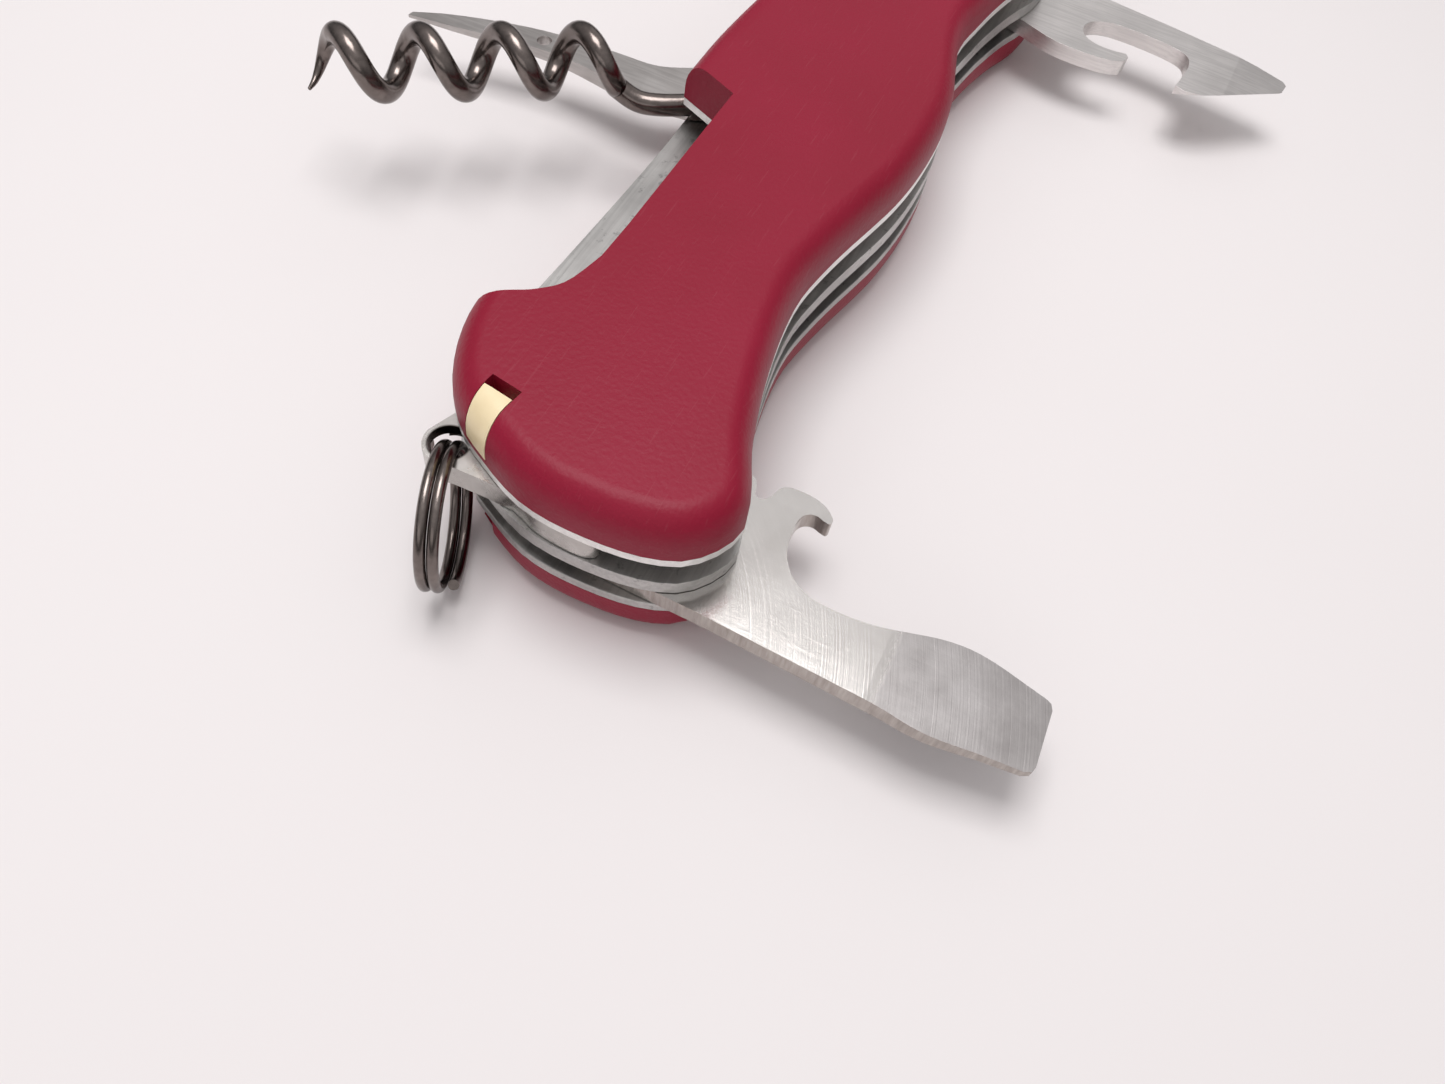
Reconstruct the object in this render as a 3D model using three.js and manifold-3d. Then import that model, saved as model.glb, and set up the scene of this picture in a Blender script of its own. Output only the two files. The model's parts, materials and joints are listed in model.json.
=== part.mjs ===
// Folding pocket multi-tool, two tool layers, every tool swung out, lying on its lower scale.
// Millimetres, +Z up. The handle runs along X: its key-ring end is at low X, the main blade at high X.
// Plan positions below are written from the key-ring end and the belly edge of the handle;
// finish() moves the whole set so the origin sits in the middle of the lower scale's flat face.
import * as THREE from 'three';
import { mergeVertices } from 'three/addons/utils/BufferGeometryUtils.js';
import Module from 'manifold-3d';

const wasm = await Module();
wasm.setup();

// ---------------------------------------------------------------- driving dimensions
const ORIGIN = [55, 11.5];

const LAYER = {                       // bottom and top of each layer of the stack
  scaleBottom: [0, 4.6],
  linerBottom: [4.6, 5.6],
  tools: [5.7, 7.6],                  // bottle opener, can opener and awl
  linerMiddle: [7.7, 9.2],
  blade: [9.3, 11.7],                 // main blade, corkscrew tang and key-ring lug
  linerTop: [11.8, 12.65],
  scaleTop: [12.65, 17.3],
};
const SCALE_ROUND = { height: 3.3, inset: 2.6 };   // rounding of a scale's outer edge

const PIN_RADIUS = 1.5;
const PRESS_HOLE = 1.52;              // hole held on the pin
const TURN_HOLE = 1.56;               // hole that turns on the pin
const PINS = { near: [6, 5.5], mid: [56.2, 20.9], far: [102, 5], spring: [80, 17], lug: [4.8, 15.2] };

// The coil's axis passes beside the pin; reach is from the pin to the first crest, and the turns are
// counted from where the shank meets the coil.
const CORKSCREW = { heading: 125.7, offset: 2.26, z: 13.31, coilRadius: 2.68, wire: 1.15, pitch: 7.96,
  reach: 15.22, lead: -40, turns: 3.88, tangRadius: 2.9 };
const LUG_HOLE = { centre: [1.6, 21.2], radius: 1.7, rim: 2.14 };
const RING = { centre: [-2.05, 19.74, 6.84], heading: 22.2, coil: 5.85, wire: 0.48, pitch: 1.0, turns: 2 };
const PICK = { at: [4.33, 17.95], heading: -9, headWidth: 2.72, slotWidth: 2.86, slotEnd: 1.07, length: 48,
  bottom: 13.2 };
const SLIDER = { x0: 91.3, x1: 97.8, y0: 5.6, y1: 10.4 };
const BLADE = { spine: 11.5, edge: -3.0, tip: [186, 8.2], ricasso: 112.5 };

const THINNING = 17.1;                // where the bottle opener starts to thin, out from the belly edge
const ARC = 40;                       // sides of a pin, bore or rounded boss
const OUTLINE_STEPS = 168;

// ---------------------------------------------------------------- materials
const metal = (colour, roughness) =>
  new THREE.MeshStandardMaterial({ color: colour, roughness, metalness: 1 });
const plastic = (colour, roughness) =>
  new THREE.MeshStandardMaterial({ color: colour, roughness, metalness: 0 });
const steel = () => metal(0xb9b6b2, 0.28);
const darkSteel = () => metal(0x8b8580, 0.3);
const aluminium = () => metal(0xc4c6c4, 0.5);
const redPlastic = () => plastic(0x8e1a2c, 0.45);

// ---------------------------------------------------------------- helpers
const rad = (deg) => deg * Math.PI / 180;
const along = (deg) => [Math.cos(rad(deg)), Math.sin(rad(deg))];

/** Closed three.js geometry to a solid for booleans. */
function solid(geometry) {
  const bare = new THREE.BufferGeometry();
  bare.setAttribute('position', geometry.getAttribute('position').clone());
  if (geometry.index) bare.setIndex(geometry.index.clone());
  const joined = mergeVertices(bare, 1e-4);
  return new wasm.Manifold(new wasm.Mesh({
    numProp: 3,
    vertProperties: new Float32Array(joined.getAttribute('position').array),
    triVerts: new Uint32Array(joined.index.array),
  }));
}

function shapeOf(points) {
  return new THREE.Shape(points.map((p) => new THREE.Vector2(p[0], p[1])));
}

/** Flat plate of the given outline between two heights. */
function plate(outline, [z0, z1]) {
  const shape = outline instanceof THREE.Shape ? outline : shapeOf(outline);
  const body = new THREE.ExtrudeGeometry(shape, { depth: z1 - z0, bevelEnabled: false, curveSegments: 10 });
  return solid(body.translate(0, 0, z0));
}

function disc([x, y], radius, [z0, z1], sides = ARC) {
  const body = new THREE.CylinderGeometry(radius, radius, z1 - z0, sides);
  return solid(body.rotateX(Math.PI / 2).translate(x, y, (z0 + z1) / 2));
}

/** Box from its lowest to its highest corner, turned about the vertical through a point if asked. */
function block(low, high, turn = 0, about = [0, 0]) {
  const size = low.map((v, i) => high[i] - v);
  const body = new THREE.BoxGeometry(...size);
  body.translate(...low.map((v, i) => v + size[i] / 2));
  if (turn) body.rotateZ(rad(turn)).translate(about[0], about[1], 0);
  return solid(body);
}

const holes = (body, centres, radius, span = [-1, 20]) =>
  centres.reduce((rest, c) => rest.subtract(disc(c, radius, span)), body);

/** Smooth closed outline through a few points. */
function smoothOutline(points, steps) {
  const corners = points.map(([x, y]) => new THREE.Vector3(x, y, 0));
  const curve = new THREE.CatmullRomCurve3(corners, true, 'centripetal');
  return curve.getSpacedPoints(steps).slice(0, steps).map((p) => [p.x, p.y]);
}

/** Smooth open run of points, used as part of an outline. */
function smoothRun(points, steps) {
  const curve = new THREE.SplineCurve(points.map((p) => new THREE.Vector2(p[0], p[1])));
  return curve.getPoints(steps).map((p) => [p.x, p.y]);
}

/** Arc of an outline from one angle to another, in degrees. */
function arcRun([x, y], radius, from, to, steps) {
  return Array.from({ length: steps + 1 }, (_, i) => {
    const [c, s] = along(from + (to - from) * i / steps);
    return [x + radius * c, y + radius * s];
  });
}

// ---------------------------------------------------------------- handle outline
const HANDLE = smoothOutline([
  [5.3, -3.25], [3.9, -3.0], [2.5, -2.35], [1.2, -1.4], [0.1, -0.1], [-0.9, 2.5], [-1.35, 5.0], [-1.55, 8.0],
  [-1.5, 10.6], [-1.1, 13.1], [-0.3, 15.3], [0.7, 17.3], [1.35, 18.55], [2.0, 19.7], [2.95, 20.95],
  [4.0, 22.0], [5.4, 23.05], [9, 24.75], [13.2, 25.6], [18, 25.2], [30, 24.6], [45, 24.1],
  [57, 24.1], [70, 23.2], [85, 22.0], [96, 21.3], [103.5, 19.2], [108, 15], [109.7, 9.5], [109.2, 4],
  [106.8, -0.2], [102.6, -2.6], [97, -2.3], [92.3, -0.8], [86.3, 0.6], [81, 1.4], [76.5, 1.9], [72, 1.4],
  [68, 0.4], [64, -0.7], [60, -1.3], [55.5, -1.45], [51, -1.25], [47, -0.75], [43, 0.1], [39, 1.05],
  [35, 1.85], [30.5, 2.45], [26, 2.25], [20.5, 1.4], [15.5, 0.25], [11, -1.1], [7.6, -2.6],
], OUTLINE_STEPS);

// Space for the corkscrew in the top scale and top liner: curved at the key-ring end, a slanted step
// at the other.
const recess = plate([
  [10.5, 30], ...smoothRun([[12.2, 26.4], [13.1, 24.1], [14, 22.6], [15.2, 20.9], [17.3, 19.2], [21.4, 18.2]], 18),
  [26, 18.05], [47.7, 17.9], [50.6, 24.6], [53, 30],
], [11, 18]);

/** Full-outline scale body whose outer edge is rounded; side is +1 for the top one, -1 for the lower. */
function scaleBody([z0, z1], side) {
  const straight = 2;
  const body = new THREE.ExtrudeGeometry(shapeOf(HANDLE), {
    depth: straight, bevelThickness: SCALE_ROUND.height, bevelSize: SCALE_ROUND.inset,
    bevelOffset: -SCALE_ROUND.inset, bevelSegments: 7,
  });
  const top = side > 0 ? z1 : z0 + straight + 2 * SCALE_ROUND.height;
  body.translate(0, 0, top - straight - SCALE_ROUND.height);
  const [low, high] = side > 0 ? [z0 - 12, z0] : [z1, z1 + 12];
  const spare = block([-20, -20, low], [130, 40, high]);
  return solid(body).subtract(spare);
}

// ---------------------------------------------------------------- scales, liners, pins, springs
const ringRelief = disc([1.9, 23.1], 3.75, [-1, 9.25]);          // room for the ring below its lug

/** Box along the toothpick's line: u runs inward along it, w is the half width. */
const alongPick = (u0, u1, w, z0, z1) => block([u0, -w, z0], [u1, w, z1], PICK.heading, PICK.at);

function scaleTop() {
  const [z0, z1] = LAYER.scaleTop;
  return scaleBody(LAYER.scaleTop, 1)
    .subtract(recess)
    .subtract(alongPick(-12, PICK.slotEnd, PICK.slotWidth / 2, PICK.bottom - 0.1, z1 + 1))
    .subtract(alongPick(0, PICK.length + 1, 1.1, PICK.bottom - 0.1, PICK.bottom + 1.6))
    .subtract(block([SLIDER.x0 - 0.3, SLIDER.y0 - 0.2, z1 - 1.2], [103, SLIDER.y1 + 0.2, z1 + 1]))
    .subtract(block([95, 6.8, z0 - 1], [101.5, 9.2, z1]));          // slot the slider's stem runs in
}

function scaleBottom() {
  const [, z1] = LAYER.scaleBottom;
  return scaleBody(LAYER.scaleBottom, -1)
    .subtract(ringRelief)
    .subtract(alongPick(-12, PICK.slotEnd, PICK.slotWidth / 2, 0.9, z1 + 1))      // empty tweezers slot
    .subtract(alongPick(0, PICK.length - 2, 1.35, z1 - 1.85, z1 + 1));
}

const liner = (span) => holes(plate(HANDLE, span), Object.values(PINS), PRESS_HOLE);

const pin = (name, [z0, z1]) => disc(PINS[name], PIN_RADIUS, [z0 + 0.05, z1 - 0.05]);

/** One backspring: a bar that dips round the middle pin and is held by the spring pin. */
function backspring(span) {
  const path = [[11.5, 16.3], [30, 16.3], [45, 15.9], [51, 15.3], [56.2, 14.9], [61.5, 15.3], [68, 16.4],
    [80, 17], [88, 15.9], [93.5, 14.2], [97.4, 12.6]];
  const half = [1.0, 1.3, 1.1, 0.95, 0.95, 0.95, 1.2, 1.4, 1.2, 1.05, 0.9];
  const upper = smoothRun(path.map(([x, y], i) => [x, y + half[i]]), 44);
  const lower = smoothRun(path.map(([x, y], i) => [x, y - half[i]]), 44);
  const bar = plate([...lower, ...upper.reverse()], span);
  const boss = disc(PINS.spring, 3.0, span);
  return holes(bar.add(boss), [PINS.spring], PRESS_HOLE);
}

// ---------------------------------------------------------------- key-ring lug and split ring
function keyringLug() {
  const { centre, radius, rim } = LUG_HOLE;
  const tab = arcRun(centre, rim, 80, 185, 14);
  const body = plate([
    ...tab, [-0.32, 19.7], [-0.2, 17.2], [-0.2, 14.9],
    ...smoothRun([[-0.2, 14.3], [-0.6, 13.2], [-1.1, 11.8], [-1.35, 10.0], [-1.4, 8.2], [-1.2, 7.0],
      [-0.6, 6.4], [0.4, 6.9], [2.2, 9.6], [4.4, 11.7], [7.6, 13], [9.0, 15.5], [8.6, 18.2], [6.9, 20.6],
      [4.9, 22.2]], 44),
  ], LAYER.blade);
  // the hole opens out below, toward the handle, where the ring slants through it
  const [c, s] = along(RING.heading);
  const below = disc([centre[0] + 0.85 * c, centre[1] + 0.85 * s], radius, [-1, LAYER.blade[0] + 1.4]);
  return holes(holes(body, [centre], radius).subtract(below), [PINS.lug], PRESS_HOLE);
}

class RingWire extends THREE.Curve {
  getPoint(t, target = new THREE.Vector3()) {
    const { centre, heading, coil, pitch, turns } = RING;
    const [c, s] = along(heading);
    const angle = 2 * Math.PI * turns * t - 2.3;
    const out = coil * Math.cos(angle);
    const side = pitch * turns * (t - 0.5);
    return target.set(centre[0] + out * c - side * s, centre[1] + out * s + side * c,
      centre[2] + coil * Math.sin(angle));
  }
}

const circleShape = (radius, sides) => shapeOf(arcRun([0, 0], radius, 0, 360 - 360 / sides, sides - 1));

/** Round wire along a curve, its radius scaled by a function of how far along it is. */
function wire(curve, radius, steps, sides, scaleAt = () => 1) {
  const body = new THREE.ExtrudeGeometry(circleShape(radius, sides),
    { steps, extrudePath: curve, bevelEnabled: false });
  const at = Array.from({ length: steps + 1 }, (_, i) => curve.getPointAt(i / steps));
  const spot = body.getAttribute('position');
  const point = new THREE.Vector3();
  for (let i = 0; i < spot.count; i++) {
    point.fromBufferAttribute(spot, i);
    let nearest = 0;
    for (let k = 1; k <= steps; k++) {
      if (at[k].distanceToSquared(point) < at[nearest].distanceToSquared(point)) nearest = k;
    }
    point.sub(at[nearest]).multiplyScalar(scaleAt(nearest / steps)).add(at[nearest]);
    spot.setXYZ(i, point.x, point.y, point.z);
  }
  return solid(body);
}

// ---------------------------------------------------------------- corkscrew
/** Shank from the tang, an S-bend out to the coil, then the coil itself. */
class CorkscrewWire extends THREE.Curve {
  constructor() {
    super();
    const { heading, offset, z, coilRadius, pitch, reach, lead, turns } = CORKSCREW;
    const [c, s] = along(heading);
    // u runs out along the coil's axis from the pin, v to the side the pin lies on, w is the height
    const place = (u, v, w) => new THREE.Vector3(
      PINS.mid[0] + u * c - (v - offset) * s, PINS.mid[1] + u * s + (v - offset) * c, w);
    const shankZ = (LAYER.blade[0] + LAYER.blade[1]) / 2;
    const points = [place(0.5, 3.5, shankZ), place(4.5, 3.5, shankZ), place(8, 3.45, shankZ),
      place(10.4, 2.95, shankZ + 0.15)];
    const perTurn = 16;
    for (let i = 0; i <= turns * perTurn; i++) {
      const angle = lead + 360 * i / perTurn;
      const [out, up] = along(angle);
      points.push(place(reach + pitch * (angle - 90) / 360, coilRadius * out, z + coilRadius * up));
    }
    this.path = new THREE.CatmullRomCurve3(points, false, 'centripetal');
  }

  getPoint(t, target) { return this.path.getPoint(t, target); }
}

function corkscrew() {
  const { wire: radius, tangRadius } = CORKSCREW;
  const taper = (t) => Math.min(1, 0.16 + Math.max(0, 1 - t) * 9);
  const coil = wire(new CorkscrewWire(), radius, 116, 12, taper);
  const [px, py] = PINS.mid;
  const hub = arcRun(PINS.mid, tangRadius, -150, 60, 16);
  const tang = plate([...hub, [px - 3.0, py + 4.0], [px - 4.8, py + 2.7]], LAYER.blade);
  return holes(coil.add(tang), [PINS.mid], TURN_HOLE);
}

// ---------------------------------------------------------------- flat tools
/** Slab cut away above or below a slope, used to thin a flat tool toward its tip. */
function slope([x, y], heading, from, fall, z, side) {
  const length = 60;
  const body = new THREE.BoxGeometry(length, 40, 6);
  body.translate(length / 2, 0, 3 * side);
  body.rotateY(side * Math.atan(fall / 20)).rotateZ(rad(heading));
  const [c, s] = along(heading);
  return solid(body.translate(x + from * c, y + from * s, z));
}

function bottleOpener() {
  const [z0, z1] = LAYER.tools;
  const outline = [
    ...arcRun(PINS.near, 6.45, 48, 180, 22), [-0.5, -2.5], [-0.72, -8],
    ...smoothRun([[-0.95, -14], [-1.15, -18.4], [-1.45, -21.4], [-1.4, -23.6], [-0.95, -26.9], [-0.62, -30.4]], 18),
    [-0.3, -31.05], [0.2, -31.2], [5.4, -31.1], [5.95, -30.85],
    ...smoothRun([[6.15, -30.4], [6.6, -28.2], [7.05, -26.0], [7.25, -24.0], [7.15, -22.3], [6.75, -20.4],
      [5.95, -17.9], [5.4, -16.0], [5.1, -14.0], [5.0, -12.2], [5.1, -10.4], [5.55, -9.0], [6.4, -7.8],
      [7.7, -6.85], [9.2, -6.35], [10.7, -6.2], [11.8, -6.25], [12.5, -6.65], [12.8, -7.4], [12.6, -8.2],
      [12.55, -8.75], [13.1, -8.85], [13.65, -8.35], [14.1, -7.7], [14.4, -6.8], [14.5, -5.6], [14.4, -4.4],
      [14.0, -3.65], [13.2, -3.35], [12.5, -3.05], [12.05, -2.5], [12.2, -1.95], [13.1, -1.65], [13.8, -1.2],
      [13.95, -0.5], [13.6, 1.2], [12.6, 5.0], [11.4, 8.6]], 104),
  ];
  return holes(plate(outline, [z0, z1]), [PINS.near], TURN_HOLE)
    .subtract(slope([0, 0], -90, THINNING, 0.75, z1, 1))
    .subtract(slope([0, 0], -90, THINNING, 0.75, z0, -1));
}

function canOpener() {
  const [z0, z1] = LAYER.tools;
  const outline = [
    ...arcRun(PINS.far, 5.8, 8, 172, 24), [95.7, 2.0],
    ...smoothRun([[94.6, -2.2], [93.1, -6.2], [92.75, -9.4], [92.9, -12.0], [93.3, -14.2], [94.1, -15.5]], 12),
    [95.2, -15.8], [95.8, -15.4],
    ...smoothRun([[95.5, -14.2], [95.4, -12.7], [95.6, -11.3], [96.3, -10.0], [97.6, -9.3], [99.1, -9.4],
      [100.4, -10.4], [101.2, -12.2], [101.4, -14.8], [101.3, -17.6], [100.9, -20.6], [100.1, -22.4],
      [98.4, -23.0], [96.4, -22.9]], 40),
    [93.1, -22.4],
    ...smoothRun([[92.7, -23.6], [93.3, -26.2], [94.9, -28.9], [97.1, -31.5], [99.4, -33.8], [100.6, -34.8]], 12),
    [102.4, -35.1], [103.0, -34.6], [103.8, -31.0], [104.5, -26.0], [105.2, -20.5], [105.8, -15], [106.4, -9.0],
    [106.9, -2],
  ];
  return holes(plate(outline, [z0, z1]), [PINS.far], TURN_HOLE)
    .subtract(slope([102, -30], -93, -1.5, 1.3, z1, 1))
    .subtract(slope([98.4, -27.3], -144.5, 0, 11, z0, -1));
}

function awl() {
  const [z0, z1] = LAYER.tools;
  const outline = [
    ...arcRun(PINS.mid, 3.15, 150, 330, 18), [59.8, 22.0], [61.9, 26.8],
    ...smoothRun([[62.1, 28.2], [60.6, 30.6], [59.9, 32.8], [59.75, 37.2], [59.0, 45.0], [57.4, 51.4],
      [55.6, 56.4], [53.9, 59.7]], 24),
    [53.2, 59.8],
    ...smoothRun([[53.9, 55.0], [55.2, 47.5], [55.75, 42], [55.2, 36.0], [54.4, 31.2], [54.6, 29.2],
      [55.4, 27.4], [55.6, 25.2], [53.9, 23.4]], 26),
  ];
  const eye = disc([57.3, 44.6], 0.85, [-1, 20], 20);
  return holes(plate(outline, [z0, z1]).subtract(eye), [PINS.mid], TURN_HOLE)
    .subtract(slope([55.9, 30], 99, 1.5, 0.55, z1, 1))
    .subtract(slope([55.9, 30], 99, 1.5, 0.55, z0, -1));
}

function mainBlade() {
  const [z0, z1] = LAYER.blade;
  const { spine, edge, tip, ricasso } = BLADE;
  const [px] = PINS.far;
  const outline = [
    ...arcRun(PINS.far, 5.5, 90, 270, 24), [109.6, -0.5], [ricasso - 0.9, -0.9], [ricasso, edge + 0.5],
    [ricasso + 0.6, edge],
    ...smoothRun([[125, edge - 0.25], [150, edge - 0.2], [164, edge + 0.5], [174, edge + 2.7],
      [181, edge + 6.4], tip], 26),
    ...smoothRun([[184.6, 9.6], [178, 11.2], [166, spine + 0.3], [148, spine + 0.3], [118, spine],
      [108, spine - 0.3], [px + 1, 10.55]], 26),
  ];
  const nick = block([121, spine - 3.1, z1 - 0.45], [135, spine - 1.7, z1 + 1]);
  const grind = (side) => {
    const body = new THREE.BoxGeometry(110, 30, 6);
    body.translate(55, -15, 3 * side).rotateX(side * rad(4.3));
    return solid(body.translate(ricasso + 1.2, spine - 4.6, side > 0 ? z1 : z0));
  };
  return holes(plate(outline, [z0, z1]), [PINS.far], TURN_HOLE)
    .subtract(nick).subtract(grind(1)).subtract(grind(-1));
}

// ---------------------------------------------------------------- toothpick and lock slider
function toothpick() {
  const head = scaleBody(LAYER.scaleTop, 1)
    .intersect(alongPick(-12, 0, PICK.headWidth / 2, PICK.bottom, LAYER.scaleTop[1] + 1));
  const shaft = new THREE.ExtrudeGeometry(
    shapeOf([[-2, -0.95], [PICK.length * 0.6, -0.85], [PICK.length, -0.3], [PICK.length, 0.3],
      [PICK.length * 0.6, 0.85], [-2, 0.95]]), { depth: 1.35, bevelEnabled: false });
  shaft.rotateZ(rad(PICK.heading)).translate(PICK.at[0], PICK.at[1], PICK.bottom);
  return head.add(solid(shaft));
}

function lockSlider() {
  const [z0, z1] = LAYER.scaleTop;
  const button = block([SLIDER.x0, SLIDER.y0, z1 - 1.0], [SLIDER.x1, SLIDER.y1, z1 + 0.35]);
  const stem = block([95.3, 7.0, z0 + 0.15], [97.5, 9.0, z1 - 0.5]);
  const ribs = [92.6, 94.0, 95.4].map((x) => block([x, 5, z1 + 0.1], [x + 0.6, 11, z1 + 1]));
  return ribs.reduce((rest, rib) => rest.subtract(rib), button.add(stem));
}

// ---------------------------------------------------------------- assembly
const group = new THREE.Group();
group.name = 'folding_pocket_multi_tool';

function finish(name, body, material) {
  const mesh = body.getMesh();
  const geometry = new THREE.BufferGeometry();
  geometry.setAttribute('position', new THREE.BufferAttribute(new Float32Array(mesh.vertProperties), 3));
  geometry.setIndex(new THREE.BufferAttribute(new Uint32Array(mesh.triVerts), 1));
  geometry.translate(-ORIGIN[0], -ORIGIN[1], 0);
  geometry.computeVertexNormals();
  const part = new THREE.Mesh(geometry, material);
  part.name = name;
  group.add(part);
}

const stack = [LAYER.linerBottom[0], LAYER.linerTop[1]];
const gapSpan = ([z0, z1]) => [z0 - 0.05, z1 + 0.05];            // a spacer is a little thicker than the tools

finish('scale_top', scaleTop(), redPlastic());
finish('scale_bottom', scaleBottom(), redPlastic());
finish('liner_top', liner(LAYER.linerTop).subtract(recess), aluminium());
finish('liner_middle', liner(LAYER.linerMiddle).subtract(ringRelief), aluminium());
finish('liner_bottom', liner(LAYER.linerBottom).subtract(ringRelief), aluminium());
for (const name of Object.keys(PINS)) finish(`pin_${name}`, pin(name, stack), steel());
finish('spacer_near', holes(disc(PINS.near, 3, gapSpan(LAYER.blade)), [PINS.near], PRESS_HOLE), steel());
finish('spacer_lug', holes(disc(PINS.lug, 2.8, gapSpan(LAYER.tools)), [PINS.lug], PRESS_HOLE), steel());
finish('backspring_blade', backspring(LAYER.blade), steel());
finish('backspring_tools', backspring(LAYER.tools), steel());
finish('keyring_lug', keyringLug(), steel());
finish('split_ring', wire(new RingWire(), RING.wire, 112, 10), darkSteel());
finish('main_blade', mainBlade(), steel());
finish('corkscrew', corkscrew(), darkSteel());
finish('bottle_opener', bottleOpener(), steel());
finish('can_opener', canOpener(), steel());
finish('awl', awl(), steel());
finish('toothpick', toothpick(), plastic(0xeadfb8, 0.4));
finish('lock_slider', lockSlider(), plastic(0x2b2b2d, 0.45));

export default group;
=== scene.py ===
import json
import math

import bmesh
import bpy
from mathutils import Matrix, Vector


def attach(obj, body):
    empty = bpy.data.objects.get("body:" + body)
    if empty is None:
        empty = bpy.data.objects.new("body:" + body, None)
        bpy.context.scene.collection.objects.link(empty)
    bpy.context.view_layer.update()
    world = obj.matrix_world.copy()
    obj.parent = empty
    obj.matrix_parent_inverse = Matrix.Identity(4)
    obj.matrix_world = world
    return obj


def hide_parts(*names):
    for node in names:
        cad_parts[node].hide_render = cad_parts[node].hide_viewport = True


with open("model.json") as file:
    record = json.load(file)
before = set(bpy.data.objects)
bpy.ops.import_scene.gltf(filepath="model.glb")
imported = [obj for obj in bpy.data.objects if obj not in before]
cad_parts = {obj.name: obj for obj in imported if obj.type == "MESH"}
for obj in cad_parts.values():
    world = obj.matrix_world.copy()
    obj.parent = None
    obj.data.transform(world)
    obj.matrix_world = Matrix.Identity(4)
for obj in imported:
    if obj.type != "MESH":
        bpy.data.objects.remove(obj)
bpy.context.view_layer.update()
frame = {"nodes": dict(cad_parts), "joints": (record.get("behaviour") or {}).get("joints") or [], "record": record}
NODES = frame["nodes"]

# ---------------------------------------------------------------- material helpers
class Nodes:
    """A new material and a few short ways to add nodes to it."""

    def __init__(self, name):
        self.material = bpy.data.materials.new(name)
        self.material.use_nodes = True
        self.tree = self.material.node_tree
        self.shader = self.tree.nodes["Principled BSDF"]
        self.coord = self.tree.nodes.new("ShaderNodeTexCoord").outputs["Object"]

    def link(self, source, target):
        self.tree.links.new(source, target)

    def mapped(self, scale=(1, 1, 1), turn=(0, 0, 0)):
        node = self.tree.nodes.new("ShaderNodeMapping")
        node.inputs["Scale"].default_value = scale
        node.inputs["Rotation"].default_value = turn
        self.link(self.coord, node.inputs["Vector"])
        return node.outputs["Vector"]

    def noise(self, scale, detail=3.0, rough=0.55, vector=None):
        node = self.tree.nodes.new("ShaderNodeTexNoise")
        node.inputs["Scale"].default_value = scale
        node.inputs["Detail"].default_value = detail
        node.inputs["Roughness"].default_value = rough
        self.link(vector or self.coord, node.inputs["Vector"])
        return node.outputs["Fac"]

    def voronoi(self, scale, vector=None):
        node = self.tree.nodes.new("ShaderNodeTexVoronoi")
        node.inputs["Scale"].default_value = scale
        self.link(vector or self.coord, node.inputs["Vector"])
        return node.outputs["Distance"]

    def ramp(self, source, stops):
        node = self.tree.nodes.new("ShaderNodeValToRGB")
        cells = node.color_ramp.elements
        while len(cells) < len(stops):
            cells.new(0.5)
        for cell, (at, value) in zip(cells, stops):
            cell.position = at
            cell.color = (*value, 1) if isinstance(value, tuple) else (value, value, value, 1)
        self.link(source, node.inputs["Fac"])
        return node.outputs["Color"]

    def span(self, source, low, high):
        node = self.tree.nodes.new("ShaderNodeMapRange")
        node.inputs["To Min"].default_value = low
        node.inputs["To Max"].default_value = high
        self.link(source, node.inputs["Value"])
        return node.outputs["Result"]

    def mix(self, factor, a, b):
        node = self.tree.nodes.new("ShaderNodeMix")
        node.data_type = "RGBA"
        for value, socket in ((factor, node.inputs[0]), (a, node.inputs[6]), (b, node.inputs[7])):
            if isinstance(value, bpy.types.NodeSocket):
                self.link(value, socket)
            elif isinstance(value, tuple):
                socket.default_value = (*value, 1)
            else:
                socket.default_value = value
        return node.outputs[2]

    def math(self, operation, a, b):
        node = self.tree.nodes.new("ShaderNodeMath")
        node.operation = operation
        for value, socket in ((a, node.inputs[0]), (b, node.inputs[1])):
            if isinstance(value, bpy.types.NodeSocket):
                self.link(value, socket)
            else:
                socket.default_value = value
        return node.outputs[0]

    def bump(self, height, distance, strength=1.0, normal=None):
        node = self.tree.nodes.new("ShaderNodeBump")
        node.inputs["Distance"].default_value = distance
        node.inputs["Strength"].default_value = strength
        self.link(height, node.inputs["Height"])
        if normal:
            self.link(normal, node.inputs["Normal"])
        return node.outputs["Normal"]

    def walls(self):
        """1 on upright faces, 0 on flat ones; the tools only ever turn about the vertical."""
        split = self.tree.nodes.new("ShaderNodeSeparateXYZ")
        self.link(self.tree.nodes.new("ShaderNodeNewGeometry").outputs["Normal"], split.inputs[0])
        return self.ramp(self.math("ABSOLUTE", split.outputs["Z"], 0.0), [(0.25, 1.0), (0.5, 0.0)])

    def set(self, **values):
        for name, value in values.items():
            socket = self.shader.inputs[name.replace("_", " ")]
            if isinstance(value, bpy.types.NodeSocket):
                self.link(value, socket)
            elif isinstance(value, tuple):
                socket.default_value = (*value, 1)
            else:
                socket.default_value = value


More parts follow.
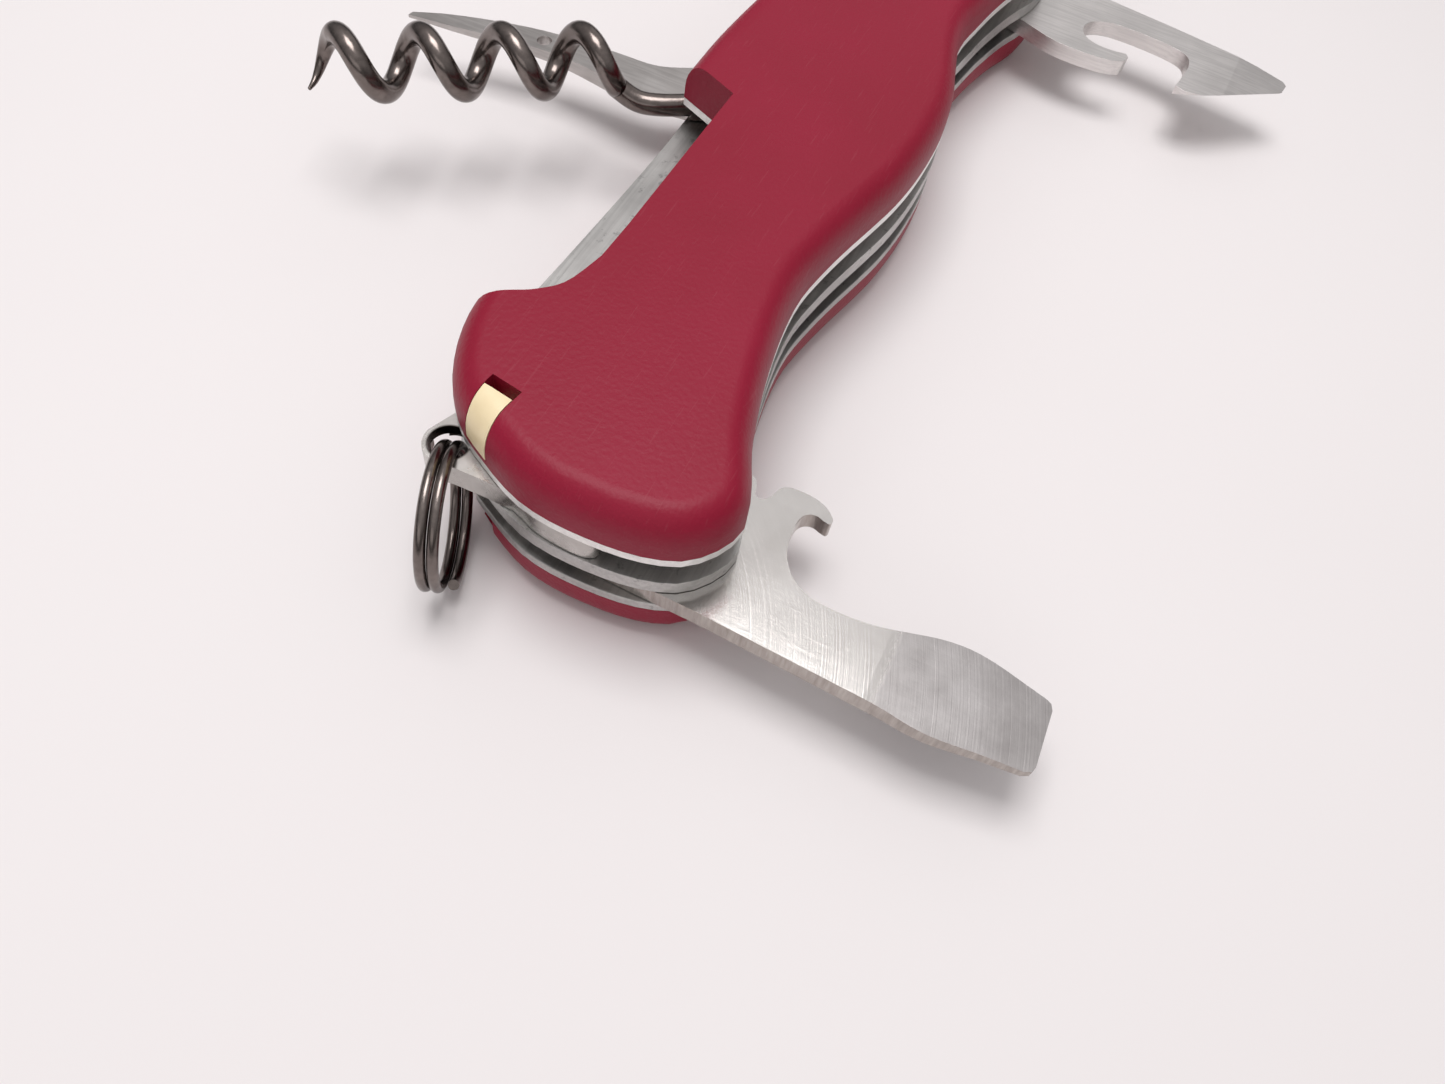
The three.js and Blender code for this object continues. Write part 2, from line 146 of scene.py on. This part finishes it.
def red_scale():
    """Moulded satin plastic: fine grain, hairline scratches, a little pale dust."""
    m = Nodes("scale_plastic")
    base = m.ramp(m.noise(45, 4), [(0.3, (0.238, 0.002, 0.020)), (0.75, (0.28, 0.004, 0.030))])
    dust = m.ramp(m.voronoi(260), [(0.0, 1.0), (0.045, 0.0)])
    patch = m.ramp(m.noise(120, 2), [(0.62, 0.0), (0.72, 1.0)])
    base = m.mix(m.math("MULTIPLY", dust, patch), base, (0.62, 0.36, 0.36))
    streaks = m.noise(1, 2, 0.5, m.mapped((260, 6500, 900), (0, 0, 0.45)))
    hairline = m.ramp(streaks, [(0.66, 0.0), (0.70, 1.0)])
    m.set(Base_Color=m.mix(m.math("MULTIPLY", hairline, 0.05), base, (0.55, 0.22, 0.24)))
    m.set(Roughness=m.span(m.noise(90, 5), 0.42, 0.54))
    worn = m.bump(m.noise(300, 3), 0.00004, 0.5)
    m.set(Normal=m.bump(m.noise(2300, 2, 0.5), 0.00005, 0.8, m.bump(hairline, 0.000006, 0.4, worn)))
    m.shader.inputs["Specular IOR Level"].default_value = 0.32
    return m.material


def metal(name, dark, light, rough, stretch, turn=0.0, scratch=0.00002, spots=0.0):
    """Steel or aluminium with fine grinding lines along one direction, smudges and small dark spots."""
    m = Nodes(name)
    lines = m.noise(1.0, 3, 0.6, m.mapped(stretch, (0, 0, turn)))
    smudge = m.noise(160, 4)
    base = m.mix(m.math("MULTIPLY", m.ramp(lines, [(0.35, 1.0), (0.6, 0.0)]), 0.35),
                 m.ramp(smudge, [(0.25, dark), (0.75, light)]), tuple(v * 0.7 for v in dark))
    if spots:
        pits = m.ramp(m.noise(900, 3, 0.7), [(0.60, 0.0), (0.70, spots)])
        base = m.mix(pits, base, tuple(v * 0.35 for v in dark))
    m.set(Base_Color=base, Metallic=1.0)
    m.set(Roughness=m.math("ADD", m.span(smudge, rough[0], rough[1]), m.span(lines, -0.04, 0.06)))
    m.set(Normal=m.bump(lines, scratch, 0.5))
    return m.material


def opener_steel(start):
    """Polished steel with faint curved grinding marks, ground matte and cloudy beyond start, a y position."""
    m = Nodes("opener_steel")
    place = m.tree.nodes.new("ShaderNodeSeparateXYZ")
    m.link(m.coord, place.inputs[0])
    x, y = place.outputs["X"], place.outputs["Y"]
    wobble = m.math("MULTIPLY", m.noise(260, 3), 0.0009)
    ground = m.ramp(m.math("MULTIPLY", m.math("SUBTRACT", start, m.math("ADD", y, wobble)), 900.0),
                    [(0.0, 0.0), (0.55, 1.0)])
    side, drop = m.math("ADD", x, 0.064), m.math("SUBTRACT", y, 0.004)
    reach = m.math("SQRT", m.math("ADD", m.math("MULTIPLY", side, side), m.math("MULTIPLY", drop, drop)), 0.0)
    arcs = m.noise(3600, 2, 0.6, reach)
    cloud = m.noise(240, 5, 0.6)
    polished = m.ramp(m.noise(150, 3), [(0.3, (0.66, 0.635, 0.61)), (0.7, (0.77, 0.745, 0.72))])
    matte = m.ramp(cloud, [(0.3, (0.37, 0.35, 0.345)), (0.7, (0.48, 0.46, 0.455))])
    sheared = m.ramp(m.noise(1, 3, 0.6, m.mapped((2400, 2400, 300))),
                     [(0.3, (0.34, 0.30, 0.275)), (0.7, (0.52, 0.48, 0.45))])
    m.set(Base_Color=m.mix(m.walls(), m.mix(ground, polished, matte), sheared), Metallic=1.0)
    m.set(Roughness=m.mix(ground, m.span(arcs, 0.13, 0.23), m.span(cloud, 0.3, 0.42)))
    grain = m.noise(2600, 3, 0.6, m.mapped((1, 0.12, 1)))
    m.set(Normal=m.bump(grain, 0.000012, 0.4, m.bump(arcs, 0.000016, 0.6)))
    return m.material


def lug_steel(hole, reach):
    """Dull steel, with painted shade inside and just around the key-ring hole, where the ring darkens it."""
    m = Nodes("lug_steel")
    away = m.tree.nodes.new("ShaderNodeVectorMath")
    away.operation = "DISTANCE"
    flat = m.mapped((1, 1, 0))
    m.link(flat, away.inputs[0])
    away.inputs[1].default_value = hole
    # Painted shade: near black inside and just around the key-ring hole, standing in for the ring's shadow there.
    hole_shade = m.ramp(m.math("DIVIDE", away.outputs["Value"], reach), [(0.88, 1.0), (0.97, 0.0)])
    base = m.ramp(m.noise(420, 4), [(0.3, (0.40, 0.38, 0.36)), (0.7, (0.58, 0.555, 0.535))])
    m.set(Base_Color=m.mix(hole_shade, base, (0.06, 0.05, 0.045)), Metallic=1.0)
    m.set(Roughness=m.span(m.noise(300, 3), 0.2, 0.34))
    m.set(Normal=m.bump(m.noise(1, 3, 0.6, m.mapped((2600, 150, 2600))), 0.000008, 0.5))
    return m.material


def smooth_plastic(name, low, high, rough=(0.3, 0.42)):
    m = Nodes(name)
    m.set(Base_Color=m.ramp(m.noise(180, 4), [(0.3, low), (0.72, high)]))
    m.set(Roughness=m.span(m.noise(260, 4), *rough))
    m.set(Normal=m.bump(m.noise(1500, 2), 0.00002, 0.5))
    return m.material


RED = red_scale()
# Painted light: the liners are one aluminium. The top liner's copy is painted much lighter because its recess
# floor lies open to the overhead light, and the middle and bottom liners keep a darker copy because their edges
# lie in shade.
LINER = metal("liner_aluminium", (0.42, 0.41, 0.40), (0.62, 0.61, 0.595), (0.34, 0.48), (60, 2600, 2600),
              scratch=0.00003, spots=0.5)
LIT_LINER_TOP = metal("liner_top_aluminium_painted_lit", (0.84, 0.825, 0.81), (0.92, 0.905, 0.89), (0.42, 0.52),
                  (90, 1800, 1800), scratch=0.00001)
STEEL = metal("tool_steel", (0.66, 0.64, 0.62), (0.8, 0.775, 0.755), (0.16, 0.26), (3800, 120, 3800))
LUG = lug_steel((-0.0534, 0.0097, 0.0), 0.00195)
OPENER = opener_steel(-0.0286)
CAN = metal("can_opener_steel", (0.7, 0.675, 0.66), (0.84, 0.81, 0.795), (0.3, 0.42), (3200, 160, 3200),
            turn=0.12)
MATTE = metal("ground_steel", (0.46, 0.435, 0.42), (0.6, 0.575, 0.56), (0.3, 0.42), (3200, 160, 3200),
              turn=0.12)
SPRING = metal("spring_steel", (0.42, 0.41, 0.39), (0.55, 0.54, 0.52), (0.3, 0.42), (120, 3000, 3000),
               spots=0.3)
WIRE = metal("wire_steel", (0.13, 0.108, 0.10), (0.25, 0.215, 0.20), (0.17, 0.27), (1600, 1600, 1600),
             spots=0.3)
PIN = metal("pin_steel", (0.5, 0.49, 0.47), (0.6, 0.59, 0.57), (0.3, 0.4), (2000, 2000, 300))
IVORY = smooth_plastic("toothpick_plastic", (0.80, 0.64, 0.38), (0.93, 0.79, 0.52))
BLACK = smooth_plastic("slider_plastic", (0.02, 0.02, 0.021), (0.035, 0.035, 0.037), (0.4, 0.5))

FINISH = {
    "scale_top": RED, "scale_bottom": RED,
    "liner_top": LIT_LINER_TOP, "liner_middle": LINER, "liner_bottom": LINER,
    "keyring_lug": LUG, "main_blade": STEEL, "bottle_opener": OPENER, "can_opener": CAN, "awl": MATTE,
    "split_ring": WIRE, "corkscrew": WIRE, "backspring_blade": SPRING, "backspring_tools": SPRING,
    "toothpick": IVORY, "lock_slider": BLACK,
}
for name, node in NODES.items():
    node.data.materials.clear()
    node.data.materials.append(FINISH.get(name, PIN))

# ---------------------------------------------------------------- pieces that stand for faceted CAD nodes
BODY_OF = {node: body for body, nodes in frame["record"]["behaviour"]["bodies"].items() for node in nodes}


def stand_in(name, mesh):
    """Puts a finished mesh in a CAD node's place, on the same body and material slot."""
    piece = bpy.data.objects.new(name + "_piece", mesh)
    bpy.context.scene.collection.objects.link(piece)
    mesh.materials.clear()
    mesh.materials.append(FINISH.get(name, PIN))
    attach(piece, BODY_OF[name])
    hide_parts(name)
    return piece


def softened(name, crease, width, segments, ground):
    """The node's own shape with its sharp edges bevelled and the rest shaded smooth.

    On a ground tool the shallow ridges between its flat faces stay crisp.
    """
    form = bmesh.new()
    form.from_mesh(NODES[name].data)
    bmesh.ops.remove_doubles(form, verts=form.verts, dist=2e-6)
    bmesh.ops.dissolve_limit(form, angle_limit=math.radians(0.6), verts=form.verts, edges=form.edges)
    for edge in form.edges:
        turn = edge.calc_face_angle(0.0)
        flats = all(abs(face.normal.z) > 0.8 for face in edge.link_faces)
        edge.smooth = turn < math.radians(crease) and not (ground and flats and turn > math.radians(1))
    for face in form.faces:
        face.smooth = True
    mesh = bpy.data.meshes.new(name + "_piece")
    form.to_mesh(mesh)
    form.free()
    add_bevel(stand_in(name, mesh), crease, width, segments)


def add_bevel(piece, crease, width, segments):
    bevel = piece.modifiers.new("bevel", "BEVEL")
    bevel.width, bevel.segments, bevel.angle_limit = width, segments, math.radians(crease)
    bevel.limit_method = "ANGLE"
    weighted = piece.modifiers.new("weighted", "WEIGHTED_NORMAL")
    weighted.keep_sharp, weighted.weight = True, 90


def swept_wire(name, path, radius_at, sides=24):
    """Round wire along a path of points, its radius given by how far along it is."""
    form = bmesh.new()
    lengths = [0.0]
    for a, b in zip(path, path[1:]):
        lengths.append(lengths[-1] + (b - a).length)
    normal = Vector((0, 0, 1))
    rings = []
    for i, at in enumerate(path):
        ahead = (path[min(i + 1, len(path) - 1)] - path[max(i - 1, 0)]).normalized()
        normal = (normal - ahead * normal.dot(ahead)).normalized()
        across = ahead.cross(normal)
        radius = radius_at(lengths[i] / lengths[-1])
        rings.append([form.verts.new(at + radius * (normal * math.cos(a) + across * math.sin(a)))
                      for a in (2 * math.pi * k / sides for k in range(sides))])
    for low, high in zip(rings, rings[1:]):
        for k in range(sides):
            n = (k + 1) % sides
            form.faces.new((low[k], low[n], high[n], high[k]))
    form.faces.new(list(reversed(rings[0])))
    form.faces.new(rings[-1])
    bmesh.ops.recalc_face_normals(form, faces=form.faces)
    mesh = bpy.data.meshes.new(name)
    form.to_mesh(mesh)
    form.free()
    mesh.polygons.foreach_set("use_smooth", [True] * len(mesh.polygons))
    mesh.set_sharp_from_angle(angle=math.radians(50))
    return mesh


def smooth_path(points, steps):
    """Catmull-Rom run through the points."""
    ends = [2 * points[0] - points[1], *points, 2 * points[-1] - points[-2]]
    run = []
    for a, b, c, d in zip(ends, ends[1:], ends[2:], ends[3:]):
        for k in range(steps):
            t = k / steps
            run.append(0.5 * (2 * b + (c - a) * t + (2 * a - 5 * b + 4 * c - d) * t ** 2
                              + (3 * b - a - 3 * c + d) * t ** 3))
    return [*run, points[-1]]


MM = 0.001
PIN_AT = {joint["name"]: Vector(joint["pos_m"]) for joint in frame["joints"] if "pos_m" in joint}


def ahead_and_left(heading):
    c, s = math.cos(heading), math.sin(heading)
    return Vector((c, s, 0)), Vector((-s, c, 0))


def split_ring():
    centre, heading = Vector((-0.05705, 0.00824, 0.00684)), math.radians(22.2)
    coil, pitch, turns, steps = 5.85 * MM, 1.0 * MM, 2, 260
    out, side = ahead_and_left(heading)
    path = []
    for i in range(steps + 1):
        angle = 2 * math.pi * turns * i / steps - 2.3
        path.append(centre + out * coil * math.cos(angle) + side * pitch * turns * (i / steps - 0.5)
                    + Vector((0, 0, coil * math.sin(angle))))
    stand_in("split_ring", swept_wire("split_ring_piece", path, lambda t: 0.48 * MM))


def corkscrew():
    """Round shank out of the tang, an S-bend, then four right-handed turns to a sharpened tip."""
    pin = PIN_AT["corkscrew_hinge"]
    heading = math.radians(125.7)
    ahead, left = ahead_and_left(heading)
    offset, axis_z, coil, pitch, reach = 2.26, 13.31, 2.68, 7.96, 15.22
    shank_z = pin.z / MM

    def place(u, v, z):
        flat = pin + (ahead * u + left * (v - offset)) * MM
        return Vector((flat.x, flat.y, z * MM))

    points = [place(0.5, 3.5, shank_z), place(4.5, 3.5, shank_z), place(8, 3.45, shank_z),
              place(10.4, 2.95, shank_z + 0.15)]
    lead, turns, per_turn = -40, 3.88, 16
    for i in range(int(turns * per_turn) + 1):
        angle = lead + 360 * i / per_turn
        points.append(place(reach + pitch * (angle - 90) / 360, coil * math.cos(math.radians(angle)),
                            axis_z + coil * math.sin(math.radians(angle))))

    def taper(t):
        return 1.15 * MM * min(1, 0.16 + 9 * (1 - t))

    stand_in("corkscrew", swept_wire("corkscrew_piece", smooth_path(points, 5), taper))


def corkscrew_tang():
    """Flat hub on the pin that the shank grows out of."""
    pin, rim, bore, half = PIN_AT["corkscrew_hinge"], 2.9 * MM, 1.56 * MM, 1.2 * MM
    edge = [Vector((rim * math.cos(a), rim * math.sin(a))) for a in
            (math.radians(-150 + 210 * k / 40) for k in range(41))]
    edge += [Vector((-3.0, 4.0)) * MM, Vector((-4.8, 2.7)) * MM]
    form = bmesh.new()
    rings = [[form.verts.new((pin.x + p.x * k, pin.y + p.y * k, pin.z + z)) for p, k in
              ((p, bore / p.length if inner else 1.0) for p in edge)]
             for inner, z in ((False, -half), (False, half), (True, half), (True, -half))]
    for a, b in zip(rings, [*rings[1:], rings[0]]):
        for k in range(len(edge)):
            n = (k + 1) % len(edge)
            form.faces.new((a[k], a[n], b[n], b[k]))
    bmesh.ops.recalc_face_normals(form, faces=form.faces)
    mesh = bpy.data.meshes.new("corkscrew_tang")
    form.to_mesh(mesh)
    form.free()
    mesh.polygons.foreach_set("use_smooth", [True] * len(mesh.polygons))
    mesh.materials.append(WIRE)
    piece = bpy.data.objects.new("corkscrew_tang", mesh)
    bpy.context.scene.collection.objects.link(piece)
    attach(piece, "corkscrew")
    add_bevel(piece, 32, 0.15 * MM, 2)


GROUND = ("bottle_opener", "can_opener", "awl", "main_blade", "keyring_lug")
EDGES = {                             # width of each softened edge in millimetres, and its steps
    "scale_top": (0.16, 2), "scale_bottom": (0.16, 2), "liner_top": (0.06, 1), "liner_middle": (0.08, 1),
    "liner_bottom": (0.08, 1), "keyring_lug": (0.14, 2), "bottle_opener": (0.17, 2), "can_opener": (0.1, 2),
    "awl": (0.1, 2), "main_blade": (0.1, 2), "toothpick": (0.4, 3), "lock_slider": (0.15, 2),
    "backspring_blade": (0.08, 1), "backspring_tools": (0.08, 1),
}
for name, (width, segments) in EDGES.items():
    softened(name, 32, width * MM, segments, name in GROUND)
split_ring()
corkscrew()
corkscrew_tang()

# ---------------------------------------------------------------- stage, light and camera
def stage_floor():
    half = 3.0
    mesh = bpy.data.meshes.new("floor")
    corners = [(-half, -half, 0), (half, -half, 0), (half, half, 0), (-half, half, 0)]
    mesh.from_pydata(corners, [], [(0, 1, 2, 3)])
    floor = bpy.data.objects.new("floor", mesh)
    bpy.context.scene.collection.objects.link(floor)
    m = Nodes("floor_paper")
    m.set(Base_Color=m.ramp(m.noise(9, 3), [(0.2, (0.80, 0.765, 0.765)), (0.8, (0.825, 0.79, 0.79))]))
    m.set(Roughness=0.75)
    mesh.materials.append(m.material)


def area_light(name, at, aim, size, power, colour=(1, 1, 1)):
    light = bpy.data.lights.new(name, "AREA")
    light.shape = "RECTANGLE"
    light.size, light.size_y = size
    light.energy = power
    light.color = colour
    lamp = bpy.data.objects.new(name, light)
    bpy.context.scene.collection.objects.link(lamp)
    lamp.location = at
    lamp.rotation_euler = (Vector(aim) - Vector(at)).to_track_quat("-Z", "Y").to_euler()


def camera():
    """The photograph's viewpoint: close above the key-ring end, looking along the handle."""
    heading, down, roll = -75.8, 57.44, 12.78
    data = bpy.data.cameras.new("camera")
    data.sensor_width = 36
    data.lens = 27.16
    data.clip_start = 0.005
    eye = bpy.data.objects.new("camera", data)
    bpy.context.scene.collection.objects.link(eye)
    turn = (Matrix.Rotation(math.radians(heading), 4, "Z")
            @ Matrix.Rotation(math.radians(90 - down), 4, "X")
            @ Matrix.Rotation(math.radians(roll), 4, "Z"))
    eye.matrix_world = Matrix.Translation((-0.0957, -0.0249, 0.0838)) @ turn
    bpy.context.scene.camera = eye


def world_light():
    """A pale room, brightest overhead and darker toward the horizon."""
    world = bpy.data.worlds.new("studio")
    world.use_nodes = True
    tree = world.node_tree
    place = tree.nodes.new("ShaderNodeTexCoord")
    split = tree.nodes.new("ShaderNodeSeparateXYZ")
    tree.links.new(place.outputs["Generated"], split.inputs[0])
    fade = tree.nodes.new("ShaderNodeValToRGB")
    fade.color_ramp.elements[0].position, fade.color_ramp.elements[0].color = 0.05, (0.12, 0.115, 0.115, 1)
    fade.color_ramp.elements[1].position, fade.color_ramp.elements[1].color = 0.9, (0.86, 0.84, 0.845, 1)
    tree.links.new(split.outputs["Z"], fade.inputs["Fac"])
    background = tree.nodes["Background"]
    tree.links.new(fade.outputs["Color"], background.inputs["Color"])
    background.inputs["Strength"].default_value = 0.82
    bpy.context.scene.world = world


stage_floor()
area_light("top_soft", (0.0, 0.05, 0.4), (0.01, 0, 0), (0.22, 0.22), 1.0, (1, 0.985, 0.985))
area_light("back_soft", (0.42, 0.05, 0.32), (0.06, 0, 0), (0.3, 0.3), 0.08, (1, 0.99, 0.99))
area_light("front_soft", (-0.55, -0.05, 0.25), (-0.03, 0, 0), (0.5, 0.2), 0.22, (1, 0.98, 0.975))
world_light()
camera()
bpy.context.scene.view_settings.view_transform = "Standard"
